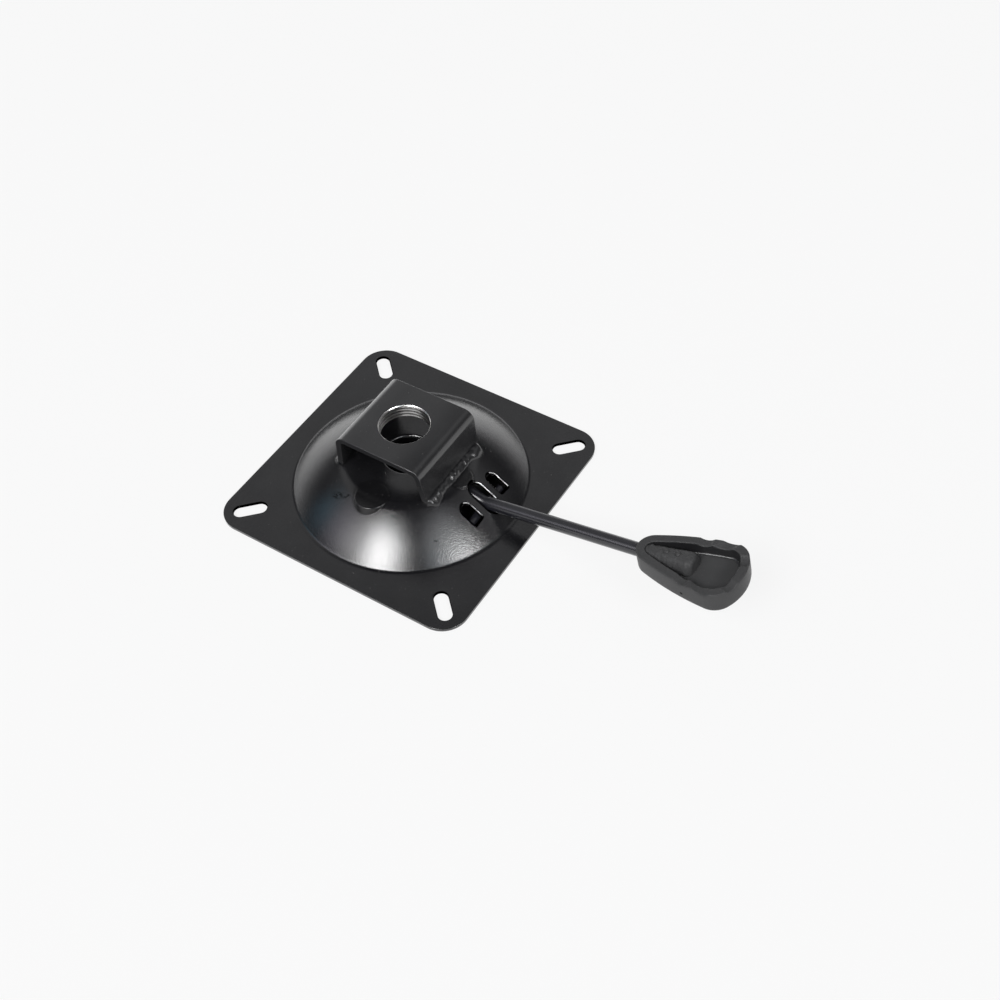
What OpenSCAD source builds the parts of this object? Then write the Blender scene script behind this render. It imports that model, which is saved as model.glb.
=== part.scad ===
// Seat plate for a gas spring column, with its release lever.
// The flange lies on z = 0, +Z runs up the dome towards the column, and the
// bore's axis is the Z axis. +X runs along the lever towards its paddle.

/* [Flange] */
// Side of the square flange
plate_w = 160; // [150:1:200]
// Radius of the flange's corners
corner_r = 15; // [8:0.5:20]
// Thickness of the pressed sheet
sheet_t = 2; // [1.6:0.1:2.4]
// Distance between neighbouring bolt slots, centre to centre
slot_pitch = 130; // [122:1:134]
// Width of a bolt slot
slot_w = 8; // [5:0.5:9]
// Length of a bolt slot, end to end
slot_l = 19; // [12:0.5:22]

/* [Dome] */
// Radius at which the dome leaves the flange
dome_foot_r = 67.8; // [66:0.2:72]
// Radius of the dome's flat top
dome_flat_r = 35; // [33:0.5:36]
// Height of the dome's top above the flange's underside
dome_h = 22.4; // [21:0.2:25]
// Outer bend radius at the dome's shoulder
shoulder_bend = 13; // [9:0.5:15]
// Inside bend radius at the dome's foot
foot_bend = 6; // [4:0.5:8]
// Radius of the hole in the dome's top
neck_r = 13.5; // [11:0.1:15]
// Depth of the collar that is drawn down round that hole
neck_h = 5; // [4:0.1:6]
// Wall of that collar
neck_t = 1.6; // [1.2:0.1:2]
// Radius of the rolled lip of the hole
lip_bend = 1.7; // [1:0.1:2]
// Radius of the round pad at the dome's open side
front_pad_r = 10; // [6:0.5:11]
// Distance of that pad from the axis
front_pad_d = 35; // [33:0.5:36]
// Radius of the round pad at the lever's side
side_pad_r = 7.5; // [5:0.5:8]
// Distance of that pad from the axis
side_pad_d = 34; // [33:0.5:35]

/* [Seat bracket] */
// Height of the bracket's top above the flange's underside
bracket_h = 46.4; // [43:0.2:52]
// Length of the bracket along its folds
bracket_l = 53; // [46:1:56]
// Half the distance between the legs' outer faces at the dome
leg_half = 30; // [28:0.5:32]
// Lean of each leg, in degrees from upright
leg_lean = 6.6; // [3:0.2:9]
// Thickness of the bracket's sheet
bracket_t = 3.5; // [2.5:0.1:4]
// Outer bend radius of the bracket
bracket_bend = 6; // [5:0.25:8]
// How much each leg's end draws in towards its foot
leg_taper = 1.3; // [0:0.1:2]
// Radius of the bore for the column
bore_r = 14; // [11:0.1:15]
// Length of the bore's wall
bore_l = 8.6; // [7:0.1:10]
// Wall of the drawn collar round the bore
bore_t = 2.3; // [1.5:0.1:3]
// Chamfer at the bore's mouth
bore_chamfer = 0.8; // [0.3:0.1:1.2]
// Leg of the weld beads
weld_leg = 3.6; // [2.5:0.1:4.5]

/* [Lever] */
// Radius of the lever's rod
rod_r = 3.75; // [3:0.05:4]
// Distance of the hinge pin from the bore's axis
pin_x = 50.2; // [49:0.1:52]
// Radius of the hinge pin
pin_r = 2.5; // [2:0.05:2.75]
// How deep the pin is let into the rod
pin_seat = 2.9; // [2:0.1:3.2]
// Rise of the rod's outer arm, in degrees
outer_rise = 11.6; // [9:0.2:14]
// Rise of the inner arm beside the bend, in degrees
inner_rise = 15.9; // [13:0.2:18]
// Bend radius of the rod at the hinge, on its centre line
rod_bend_r = 12; // [9:0.5:15]
// Length of the outer arm from the bend to the paddle
outer_arm = 96; // [70:1:130]
// How far the inner arm reaches past the bore's axis
tip_reach = 6; // [3:0.5:8]
// Width of the inner arm's flattened tip
tip_w = 11; // [9:0.5:13]
// Thickness of that tip
tip_t = 4.4; // [3.5:0.1:5.5]

/* [Paddle] */
// Length of the paddle
paddle_l = 62; // [60:1:66]
// Radius of the paddle's narrow end
nose_r = 9.3; // [8:0.1:10]
// Radius of the two corners at its wide end
wing_r = 11; // [9:0.5:12]
// Distance of those corners' centres from the paddle's middle line
wing_y = 7.6; // [6:0.2:10]
// Radius of the paddle's flanks
flank_r = 160; // [120:5:260]
// Height of the rim above the rod's axis
rim_up = 5; // [4.4:0.1:6]
// Depth of the paddle below the rod's axis
rim_down = 7.5; // [6.8:0.1:9]
// Width of the rim
rim_w = 4.8; // [4:0.1:5.5]
// Height of the recess floor below the rod's axis
floor_down = 2.5; // [1.5:0.1:3]
// Radius of the rod's boss where it ends in the recess
boss_r = 5.8; // [5:0.1:6.2]
// Radius of the finger flutes across the rim
flute_r = 9; // [6:0.5:11]
// Depth of those flutes
flute_d = 1.5; // [0.6:0.1:2]

/* [Clearances] */
// Running clearance round the hinge pin
pin_gap = 0.1; // [0.05:0.05:0.2]
// Clearance between the resting lever and the collar above it
stop_gap = 0.3; // [0.2:0.05:0.5]
// Clearance on each side of the rod in its slot
rod_gap = 0.75; // [0.5:0.05:1.2]
// Radial gap of the rod in the paddle and of the pin in its notch
joint_gap = 0.03; // [0.01:0.01:0.05]

/* [Hidden] */
$fn = 96;
over = 1;
pad_drop = 0.15;
shoulder_bands = 8;
fillet_root = 0.6;
bend_lap = 0.5;
black = "#26272a";
bright = "#8f9296";
plastic = "#303133";

// Dome profile: a cone that touches the shoulder bend and the foot bend
shoulder_c = [dome_flat_r, dome_h - shoulder_bend];
foot_c = [dome_foot_r, sheet_t + foot_bend];
span = foot_c - shoulder_c;
dome_slope = 90 - atan2(span[1], span[0]) - acos((shoulder_bend + foot_bend) / norm(span));
skin_dir = [sin(dome_slope), cos(dome_slope)];

// Hinge: the pin runs under the lands beside the lever's slot, in hooks
// that are cut from the sheet and bent in from the two outer slots
land_w = 5;
hook_w = 7;
rod_slot_half = rod_r + rod_gap;
land_end = rod_slot_half + land_w;
hook_in_r = pin_r + pin_gap;
hook_x = pin_x + hook_in_r + sheet_t;
hook_slot_lead = 6.5;
land_r = norm([pin_x, land_end]);
land_run = pin_x / land_r * tan(dome_slope);
pin_z = cone_z(land_r, sheet_t) - (pin_r + pin_gap) * norm([1, land_run]);
pin_half = land_end + hook_w - pin_r / 2;

// Lever: a bend over the pin, a rising outer arm, and an inner arm that
// levels out below the dome's collar
lever_turn = outer_rise + inner_rise;
bend_sag = rod_bend_r * (1 / cos(lever_turn / 2) - 1);
bend_lead = rod_r / 3;
bend_p = [pin_x - bend_lead, pin_z + rod_r + pin_r - pin_seat - bend_sag];
arm_z = dome_h - neck_h - stop_gap - rod_r;
knee_p = [bend_p[0] - (arm_z - bend_p[1]) / tan(inner_rise), arm_z];
tip_round_x = tip_w / 2 - tip_reach;
rod_slot_in = 9.2;
rod_clear_x = (cone_z(0, 0) + rod_r / cos(outer_rise) - bend_p[1] + bend_p[0] * tan(outer_rise))
    / (tan(dome_slope) + tan(outer_rise));
rod_slot_end = rod_clear_x + rod_gap;

// Paddle outline: nose, flanks, wings and end are arcs that touch
nose_x = nose_r + sheet_t;
wing_x = paddle_l - wing_r - sheet_t;
end_reach = paddle_l - wing_r;
end_x = (pow(end_reach, 2) - pow(wing_x, 2) - pow(wing_y, 2)) / (2 * (end_reach - wing_x));
end_r = paddle_l - end_x;
nose_c = [nose_x, 0];
wing_c = [wing_x, wing_y];
end_c = [end_x, 0];
flank_c = meet(nose_c, flank_r - nose_r, wing_c, flank_r - wing_r);
rod_depth = paddle_l * 0.42;
// The flutes point at a spot between the wings, at these angles on each side
flute_fan_share = 0.62;
flute_angles = [19, 57, 95];
nose_dir = unit(nose_c - flank_c);
wing_dir = unit(wing_c - flank_c);
end_dir = unit(wing_c - end_c);
// Rounding of the paddle's lower edge, as shares of its radius
edge_r = 2.5;
edge_inset_shares = [0.2, 0.52, 1];
edge_depth_shares = [0.52, 0.84, 1];

// Height of the dome's cone at radius r, for the face that lies drop below the skin
function cone_z(r, drop) = foot_c[1] - (foot_bend + drop) * skin_dir[1]
    + (foot_c[0] - (foot_bend + drop) * skin_dir[0] - r) * tan(dome_slope);

// Height of the dome's outer skin at radius r
function skin_z(r) = r < dome_flat_r ? dome_h
    : r < shoulder_c[0] + shoulder_bend * skin_dir[0]
        ? shoulder_c[1] + sqrt(pow(shoulder_bend, 2) - pow(r - dome_flat_r, 2))
    : cone_z(r, 0);

function flip(p) = [p[0], -p[1]];
function unit(v) = v / norm(v);
function polar(angle) = [cos(angle), sin(angle)];
function angle_of(v) = atan2(v[1], v[0]);

// The crossing of two circles that lies on the far side of their middle line
function meet(a, ra, b, rb) =
    let (d = norm(b - a), e = unit(b - a), along = (d * d + ra * ra - rb * rb) / (2 * d))
    a + along * e + sqrt(ra * ra - along * along) * [e[1], -e[0]];

// Round corner: the part of a disc of radius r about c between two directions
module disc_corner(c, r, from_dir, to_dir) {
    intersection() {
        translate(c) circle(r);
        polygon([c, c + 2 * r * from_dir, c + 2 * r * unit(from_dir + to_dir), c + 2 * r * to_dir]);
    }
}

// A point just behind the sharp corner that a hollow fillet covers
function behind(c, r, from_dir, to_dir) =
    c + unit(from_dir + to_dir) * (r / cos(acos(from_dir * to_dir) / 2) + fillet_root);

// Hollow corner: material behind a disc of radius r about c, between two directions
module hollow_corner(c, r, from_dir, to_dir) {
    difference() {
        polygon([c, c + (r + fillet_root) * from_dir,
            behind(c, r + fillet_root / 2, from_dir, to_dir), c + (r + fillet_root) * to_dir]);
        translate(c) circle(r);
    }
}

// Half section below the dome's face that lies drop below the skin. The shoulder
// is turned in narrow bands, so that the pads and slots cut it cleanly.
module under_skin(drop, base) {
    top = dome_h - drop;
    level = sheet_t - drop;
    bend = foot_bend + drop;
    foot_p = foot_c - bend * skin_dir;
    polygon(concat(
        [[dome_foot_r, base], [dome_foot_r, level], behind(foot_c, bend, -skin_dir, [0, -1]), foot_p],
        [for (i = [shoulder_bands:-1:0])
            shoulder_c + (shoulder_bend - drop) * polar(90 - dome_slope * i / shoulder_bands)],
        [[0, top], [0, base]]
    ));
    hollow_corner(foot_c, bend, -skin_dir, [0, -1]);
}

// Plate with round ends between two points of the XY plane
module stadium(a, b, r) {
    side = r * unit([a[1] - b[1], b[0] - a[0]]);
    polygon([a + side, a - side, b - side, b + side]);
    translate(a) circle(r);
    translate(b) circle(r);
}

module flange() {
    straight = plate_w - 2 * corner_r;
    linear_extrude(sheet_t) {
        square([plate_w, straight], center = true);
        square([straight, plate_w], center = true);
        for (x = [-1, 1], y = [-1, 1]) translate([x, y] * straight / 2) circle(corner_r);
    }
}

// A pad in the dome's top plane: the punch keeps the sheet's thickness
module pads(drop, base) {
    for (p = [[0, -front_pad_d, front_pad_r], [side_pad_d, 0, side_pad_r]])
        translate([p[0], p[1], base]) cylinder(r = p[2] - drop, h = dome_h - drop - base);
}

// Bolt slots on the diagonals, each pointing at the centre
module bolt_slots() {
    reach = (slot_l - slot_w) / 2;
    translate([0, 0, -over]) linear_extrude(sheet_t + 2 * over)
        for (angle = [45, 135, 225, 315]) {
            middle = slot_pitch / 2 * norm([1, 1]);
            stadium((middle - reach) * polar(angle), (middle + reach) * polar(angle), slot_w / 2);
        }
}

// Openings for the rod and for the two hooks
module lever_openings() {
    translate([0, 0, over - sheet_t]) linear_extrude(dome_h) {
        stadium([pin_x - rod_slot_in + rod_slot_half, 0], [rod_slot_end - rod_slot_half, 0], rod_slot_half);
        for (side = [-1, 1]) {
            y = side * (land_end + hook_w / 2);
            lead = pin_x - hook_slot_lead + hook_w / 2;
            translate([lead, y]) circle(hook_w / 2);
            translate([lead, y - hook_w / 2]) square([hook_x - lead, hook_w]);
        }
    }
}

// Hook in side view: it bends down from the slot's outer end and round the pin
module hook_side() {
    c = [pin_x, pin_z];
    root_z = skin_z(norm([hook_x, land_end + hook_w])) - sheet_t;
    wrap = 150;
    difference() {
        translate(c) circle(hook_in_r + sheet_t);
        translate(c) circle(hook_in_r);
        polygon([c, c + [2 * hook_x, 0], c + [2 * hook_x, hook_x], c + [-hook_x, hook_x],
            c + 2 * hook_x * polar(-wrap)]);
    }
    translate([hook_x - sheet_t, pin_z]) square([sheet_t, root_z - pin_z]);
    disc_corner([hook_x, root_z], sheet_t, [-1, 0], [0, 1]);
}

module hooks() {
    for (side = [-1, 1])
        translate([0, side * (land_end + hook_w / 2) + hook_w / 2, 0])
            rotate([90, 0, 0]) linear_extrude(hook_w) hook_side();
}

// Collar drawn down round the dome's hole
module neck_section() {
    root = lip_bend / 2;
    outer = neck_r + neck_t;
    under = dome_h - sheet_t;
    root_c = [outer + root, under - root];
    polygon([
        [0, dome_h - neck_h], [outer, dome_h - neck_h], [outer, root_c[1]],
        behind(root_c, root, [-1, 0], [0, 1]), [root_c[0], under], [root_c[0], under + fillet_root],
        [0, under + fillet_root]
    ]);
    hollow_corner(root_c, root, [0, 1], [-1, 0]);
}

// What the rolled lip takes off the hole's sharp edge
module lip_waste() {
    lip_c = [neck_r + lip_bend, dome_h - lip_bend];
    difference() {
        translate([neck_r - over, lip_c[1]]) square(lip_bend + over);
        translate(lip_c) circle(lip_bend);
    }
}

module base_plate() color(black) {
    difference() {
        union() {
            difference() {
                difference() {
                    union() {
                        rotate_extrude() under_skin(0, 0);
                        pads(pad_drop, sheet_t);
                    }
                    rotate_extrude() under_skin(sheet_t, -over);
                }
                pads(sheet_t + pad_drop, dome_h / 2);
            }
            difference() {
                flange();
                translate([0, 0, -over]) cylinder(r = dome_foot_r, h = sheet_t + 2 * over);
            }
            rotate_extrude() neck_section();
        }
        translate([0, 0, dome_h - neck_h - over]) cylinder(r = neck_r, h = neck_h + 2 * over);
        rotate_extrude() lip_waste();
        bolt_slots();
        lever_openings();
    }
    hooks();
}

// Half section inside the bracket's face that lies inset within its outer face
module bracket_half(inset, base) {
    out = polar(leg_lean);
    c_z = bracket_h - bracket_bend;
    c = [leg_half - (bracket_bend + (c_z - dome_h) * out[1]) / out[0], c_z];
    foot_x = leg_half - (inset + (base - dome_h) * out[1]) / out[0];
    polygon([
        [foot_x, base], c + (bracket_bend - inset) * out, c, [c[0], bracket_h - inset],
        [0, bracket_h - inset], [0, base]
    ]);
    disc_corner(c, bracket_bend - inset, [0, 1], out);
}

module channel() {
    rotate([90, 0, 0]) translate([0, 0, -bracket_l / 2]) linear_extrude(bracket_l)
        for (side = [0, 1]) mirror([side, 0]) difference() {
            bracket_half(0, dome_h);
            bracket_half(bracket_t, dome_h - over);
        }
}

// Outline of the legs' ends, seen along X
module leg_ends() {
    top = bracket_l / 2;
    foot = top - leg_taper;
    fold_z = bracket_h - bracket_bend;
    translate([-leg_half - over, 0, 0]) rotate([90, 0, 90]) linear_extrude(2 * (leg_half + over))
        polygon([[-foot, dome_h], [foot, dome_h], [top, fold_z], [top, bracket_h], [-top, bracket_h],
            [-top, fold_z]]);
}

module bore_section() {
    under = bracket_h - bracket_t;
    root = bore_t / 2;
    outer = bore_r + bore_t;
    root_c = [outer + root, under - root];
    polygon([
        [0, bracket_h - bore_l], [outer, bracket_h - bore_l], [outer, root_c[1]],
        behind(root_c, root, [-1, 0], [0, 1]), [root_c[0], under], [root_c[0], under + fillet_root],
        [0, under + fillet_root]
    ]);
    hollow_corner(root_c, root, [0, 1], [-1, 0]);
}

module seat_bracket() color(black) difference() {
    union() {
        intersection() {
            channel();
            leg_ends();
        }
        rotate_extrude() bore_section();
    }
    translate([0, 0, bracket_h - bore_l - over]) cylinder(r = bore_r, h = bore_l + 2 * over);
    translate([0, 0, bracket_h - bore_chamfer])
        cylinder(r1 = bore_r, r2 = bore_r + bore_chamfer + over, h = bore_chamfer + over);
}

// Weld bead: a fillet along the leg's foot whose width and crown wander
function weld_size(t, lump) = weld_leg
    * (1 + lump * pow(max(0, sin(180 * min(1, max(0, (t - 0.78) / 0.26)))), 2)
        + 0.07 * sin(2400 * t) + 0.12 * sin(560 * t + 40)) * (t == 0 || t == 1 ? 0.45 : 1);

// One station of the bead at the share t of its length, as points from leg to dome
function weld_ring(t, lump) =
    let (
        size = weld_size(t, lump),
        end = bracket_l / 2 - leg_taper,
        y = end * (2 * t - 1),
        rise = size * (0.9 - 0.25 * lump * (t > 0.75 ? 1 : 0)),
        toe = leg_half + size,
        up = [-sin(leg_lean), cos(leg_lean)],
        crown = 0.72 + 0.05 * sin(3100 * t + 70)
    ) concat(
        [for (k = [0:4])
            let (a = 90 * k / 4,
                 p = [leg_half, dome_h] + up * rise * pow(cos(a), 1 / crown) * 1.02
                     + [size * pow(sin(a), 1 / crown), 0])
            [p[0], y, k == 4 ? skin_z(norm([toe, y])) - weld_leg / 5 : p[1] - (dome_h - skin_z(norm([p[0], y])))
                * (k / 4)]],
        [[leg_half, y, skin_z(norm([leg_half, y])) - weld_leg / 5], [leg_half, y, dome_h]]
    );

module weld_bead(lump) {
    steps = 44;
    ring = 7;
    rings = [for (i = [0:steps]) weld_ring(i / steps, lump)];
    points = [for (r = rings) each r];
    walls = [for (i = [0:steps - 1], k = [0:ring - 1])
        let (a = i * ring + k, b = i * ring + (k + 1) % ring)
        each [[a, b, b + ring], [a, b + ring, a + ring]]];
    near = [for (k = [ring - 1:-1:0]) k];
    far = [for (k = [0:ring - 1]) steps * ring + k];
    difference() {
        polyhedron(concat(points), concat(walls, [near, far]));
        rotate_extrude() under_skin(0, 0);
    }
}

module weld_right() color(black) weld_bead(0.9);

module weld_left() color(black) mirror([1, 0, 0]) weld_bead(0.25);

// Straight run of the rod from a to b in the XZ plane, let a little into the bends
module rod_run(a, b) {
    start = a - bend_lap * unit(b - a);
    translate([start[0], 0, start[1]]) rotate([0, 90 - angle_of(b - a), 0])
        cylinder(r = rod_r, h = norm(b - a) + 2 * bend_lap);
}

// Bend of the rod about c in the XZ plane, from one angle through another
module rod_bend(c, r, start, turn) {
    translate([c[0], 0, c[1]]) rotate([90, 0, 0]) rotate([0, 0, start])
        rotate_extrude(angle = turn) translate([r, 0]) circle(rod_r + joint_gap);
}

module lever_rod() color(black) {
    bend_t = rod_bend_r * tan(lever_turn / 2);
    knee_t = rod_bend_r * tan(inner_rise / 2);
    inner_dir = polar(-inner_rise);
    outer_dir = polar(outer_rise);
    knee_start = knee_p - [knee_t, 0];
    knee_end = knee_p + knee_t * inner_dir;
    bend_start = bend_p - bend_t * inner_dir;
    bend_end = bend_p + bend_t * outer_dir;
    neck_x = tip_round_x + tip_w;
    difference() {
        union() {
            rod_run([neck_x, arm_z], knee_start);
            translate([tip_round_x, 0, arm_z]) rotate([0, 90, 0])
                cylinder(r1 = tip_t / 3, r2 = rod_r - joint_gap, h = tip_w + over);
            rod_bend(knee_start - [0, rod_bend_r], rod_bend_r, 90 - inner_rise, inner_rise);
            rod_run(knee_end, bend_start);
            rod_bend(bend_start + rod_bend_r * [inner_dir[1] * -1, inner_dir[0]], rod_bend_r,
                -90 - inner_rise, lever_turn);
            rod_run(bend_end, bend_p + (outer_arm + rod_depth) * outer_dir);
            translate([0, 0, arm_z - tip_t / 2]) linear_extrude(tip_t) {
                translate([tip_round_x, 0]) circle(tip_w / 2);
                polygon([[tip_round_x, -tip_w / 2], [tip_round_x + tip_w / 2, -tip_w / 2],
                    [neck_x, -tip_w / 4], [neck_x, tip_w / 4],
                    [tip_round_x + tip_w / 2, tip_w / 2], [tip_round_x, tip_w / 2]]);
            }
        }
        translate([pin_x, 0, pin_z]) rotate([90, 0, 0])
            cylinder(r = pin_r + joint_gap, h = 2 * pin_half, center = true);
    }
}

module pivot_pin() color(black) {
    bevel = pin_r / 5;
    translate([pin_x, 0, pin_z]) rotate([90, 0, 0]) {
        cylinder(r = pin_r, h = 2 * (pin_half - bevel), center = true);
        for (side = [0, 1]) mirror([0, 0, side])
            translate([0, 0, pin_half - bevel]) cylinder(r1 = pin_r, r2 = pin_r - bevel, h = bevel);
    }
}

function arc(c, r, from_angle, to_angle, steps) =
    [for (i = [0:steps - 1]) c + r * polar(from_angle + (to_angle - from_angle) * i / steps)];

// The paddle's outline, drawn in by inset
function outline_points(inset) =
    let (half = concat(
        arc(end_c, end_r - inset, 0, angle_of(end_dir), 5),
        arc(wing_c, wing_r - inset, angle_of(end_dir), angle_of(wing_dir), 9),
        arc(flank_c, flank_r - inset, angle_of(wing_dir), angle_of(nose_dir), 9),
        arc(nose_c, nose_r - inset, angle_of(nose_dir), 180, 13),
        [nose_c - [nose_r - inset, 0]]))
    concat(half, [for (i = [len(half) - 2:-1:1]) flip(half[i])]);

// Finger flutes: cylinders that fan out across the rim round the wide end
module flutes() {
    for (side = [-1, 1], angle = flute_angles)
        translate([paddle_l * flute_fan_share, 0, rim_up + flute_r - flute_d]) rotate([0, 0, side * angle])
            rotate([0, 90, 0]) translate([0, 0, wing_r]) cylinder(r = flute_r, h = paddle_l);
}

module paddle_body() {
    last = len(edge_inset_shares) - 1;
    hull() {
        translate([0, 0, edge_r - rim_down]) linear_extrude(rim_up + rim_down - edge_r)
            polygon(outline_points(0));
        for (i = [0:last])
            translate([0, 0, edge_r - rim_down - edge_depth_shares[i] * edge_r]) linear_extrude(over)
                polygon(outline_points(edge_inset_shares[i] * edge_r));
    }
}

module boss() {
    start = nose_x / 2;
    shoulder = rod_depth - over;
    rotate([0, 90, 0]) {
        translate([0, 0, start]) cylinder(r1 = rod_r + boss_r / 5, r2 = boss_r, h = shoulder - start);
        translate([0, 0, shoulder]) sphere(boss_r - joint_gap);
    }
}

module paddle() color(plastic)
    translate([bend_p[0], 0, bend_p[1]]) rotate([0, -outer_rise, 0]) translate([outer_arm, 0, 0])
        difference() {
            union() {
                difference() {
                    paddle_body();
                    translate([0, 0, -floor_down]) linear_extrude(floor_down + rim_up + over)
                        polygon(outline_points(rim_w));
                    flutes();
                }
                boss();
            }
            rotate([0, 90, 0]) translate([0, 0, -over]) cylinder(r = rod_r + joint_gap, h = rod_depth + bend_lap + joint_gap + over);
        }

base_plate();
seat_bracket();
weld_left();
weld_right();
lever_rod();
pivot_pin();
paddle();
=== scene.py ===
"""Looks of the seat plate with its release lever, built over the frame. Lengths are in mm until make()."""

import math

import bpy
import numpy as np
from mathutils import Matrix, Vector, geometry, noise


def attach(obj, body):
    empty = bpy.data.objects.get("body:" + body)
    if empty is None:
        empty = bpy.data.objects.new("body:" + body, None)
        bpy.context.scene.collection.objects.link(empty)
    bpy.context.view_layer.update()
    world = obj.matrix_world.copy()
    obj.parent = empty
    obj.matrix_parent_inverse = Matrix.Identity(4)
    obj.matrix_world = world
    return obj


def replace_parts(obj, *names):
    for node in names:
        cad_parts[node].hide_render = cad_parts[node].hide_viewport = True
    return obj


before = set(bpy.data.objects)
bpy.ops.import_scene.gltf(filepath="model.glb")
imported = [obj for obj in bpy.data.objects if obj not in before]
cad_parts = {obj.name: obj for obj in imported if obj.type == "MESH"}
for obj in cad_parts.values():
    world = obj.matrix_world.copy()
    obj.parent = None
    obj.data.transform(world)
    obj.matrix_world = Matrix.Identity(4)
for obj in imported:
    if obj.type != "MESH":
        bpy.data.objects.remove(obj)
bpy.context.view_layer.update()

MM = 0.001

# Sizes in mm, close to those of the solids
PLATE, CORNER, SHEET = 160.0, 15.0, 2.0
SLOT_MID, SLOT_HALF, SLOT_R = 65.0 * math.sqrt(2), 5.5, 4.0
FOOT_R, FLAT_R, DOME_H, SHOULDER, FLANK, FOOT_BEND = 68.8, 34.0, 22.4, 13.0, 150.0, 4.0
NECK_R, NECK_H, NECK_T, LIP = 13.5, 5.0, 1.6, 1.7
PADS = [(0.0, -35.0, 9.5), (34.0, 0.0, 7.5)]
PAD_DROP = 0.15
BRACKET_H, BRACKET_L, LEG_HALF, LEAN = 46.4, 53.0, 30.0, math.radians(6.6)
BRACKET_T, BEND = 3.5, 6.0
TAPER, BORE_R, BORE_L, BORE_T, CHAMFER = 1.3, 14.0, 8.6, 2.3, 0.4
ROD_R, PIN_X, PIN_Z, PIN_R, PIN_SEAT = 3.75, 50.2, 7.56894, 2.5, 2.9
OUTER, INNER, ROD_BEND = math.radians(11.6), math.radians(15.9), 12.0
OUTER_ARM, TIP_W, TIP_T, TIP_REACH = 96.0, 11.0, 4.4, 6.0
PADDLE_L, NOSE_R, WING_R, WING_Y, FLANK_R = 61.94, 9.3, 11.0, 7.6, 160.0
RIM_UP, RIM_DOWN, RIM_W, FLOOR = 5.0, 7.5, 4.8, 1.6
FLUTE_R, FLUTE_D = 6.0, 1.4


# Mesh building

def make(name, points, faces, normals, material, body):
    """One mesh object from points in mm, with a normal for each point."""
    mesh = bpy.data.meshes.new(name)
    corners = [tuple(p) for p in np.asarray(points) * MM]
    mesh.from_pydata(corners, [], [tuple(int(i) for i in f) for f in faces])
    mesh.update()
    mesh.polygons.foreach_set("use_smooth", [True] * len(mesh.polygons))
    if normals is not None:
        mesh.normals_split_custom_set_from_vertices([tuple(n) for n in normals])
    obj = bpy.data.objects.new(name, mesh)
    bpy.context.scene.collection.objects.link(obj)
    for m in material if isinstance(material, list) else [material]:
        mesh.materials.append(m)
    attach(obj, body)
    return obj


def unit(v):
    v = np.asarray(v, float)
    return v / np.linalg.norm(v, axis=-1, keepdims=True)


def smooth_max(a, b, k):
    h = np.clip(0.5 + 0.5 * (a - b) / k, 0, 1)
    return b + (a - b) * h + k * h * (1 - h)


def inside(points, loop):
    """Which points lie inside the closed loop."""
    x, y = points[:, 0], points[:, 1]
    hit = np.zeros(len(points), bool)
    for (x0, y0), (x1, y1) in zip(loop, np.roll(loop, -1, 0)):
        if y0 == y1:
            continue
        cross = (y0 > y) != (y1 > y)
        hit ^= cross & (x < x0 + (y - y0) * (x1 - x0) / (y1 - y0))
    return hit


def loop_distance(points, loop):
    best = np.full(len(points), 1e9)
    for a, b in zip(loop, np.roll(loop, -1, 0)):
        d = b - a
        t = np.clip(((points - a) @ d) / (d @ d), 0, 1)
        best = np.minimum(best, np.linalg.norm(points - a - t[:, None] * d, axis=1))
    return best


def rounded_edge(b, t, steps=4):
    """Edge profile of a sheet: how far in it lies, how deep, and its normal as out and up."""
    angles = [math.pi / 2 * i / steps for i in range(steps + 1)]
    upper = [(b * (1 - math.sin(a)), b * (1 - math.cos(a)) / t, math.sin(a), math.cos(a)) for a in angles]
    return upper + [(i, 1 - s, o, -u) for i, s, o, u in reversed(upper)]


class Mesh:
    """Points, normals and faces that are collected for one object."""

    def __init__(self):
        self.points, self.normals, self.faces = [], [], []

    def add(self, points, normals):
        start = len(self.points)
        self.points.extend(np.asarray(points, float))
        self.normals.extend(np.asarray(normals, float))
        return np.arange(start, start + len(points))

    def strip(self, a, b, closed=True):
        n = len(a)
        for i in range(n if closed else n - 1):
            j = (i + 1) % n
            self.faces.append((a[i], a[j], b[j], b[i]))

    def rings(self, rings, closed=True):
        ids = [self.add(p, n) for p, n in rings]
        for a, b in zip(ids, ids[1:]):
            self.strip(a, b, closed)
        return ids


def triangulate(rims, points):
    """Triangles between an outer rim, its holes and loose points, and where each rim's points went."""
    outer, holes = rims[0], rims[1:]
    keep = inside(points, outer)
    for hole in holes:
        keep &= ~inside(points, hole)
    for rim in rims:
        gap = 0.45 * np.median(np.linalg.norm(np.roll(rim, -1, 0) - rim, axis=1))
        keep &= loop_distance(points, rim) > gap
    points = points[keep]
    verts, edges, starts = [], [], []
    for rim in rims:
        starts.append(len(verts))
        verts.extend(rim)
        n = len(rim)
        edges.extend((starts[-1] + i, starts[-1] + (i + 1) % n) for i in range(n))
    verts.extend(points)
    corners = [Vector(v) for v in verts]
    out, _, faces, came_from, _, _ = geometry.delaunay_2d_cdt(corners, edges, [], 0, 1e-5, True)
    out = np.array([tuple(v) for v in out])
    where = {}
    for new, olds in enumerate(came_from):
        for old in olds:
            where[old] = new
    tri = np.array(list(faces))
    middle = out[tri].mean(1)
    good = inside(middle, outer)
    for hole in holes:
        good &= ~inside(middle, hole)
    tri = tri[good]
    a, b, c = out[tri[:, 0]], out[tri[:, 1]], out[tri[:, 2]]
    turn = (b[:, 0] - a[:, 0]) * (c[:, 1] - a[:, 1]) - (b[:, 1] - a[:, 1]) * (c[:, 0] - a[:, 0])
    tri[turn < 0] = tri[turn < 0][:, ::-1]
    rim_ids = [[where[s + i] for i in range(len(r))] for s, r in zip(starts, rims)]
    return out, tri, rim_ids


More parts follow.
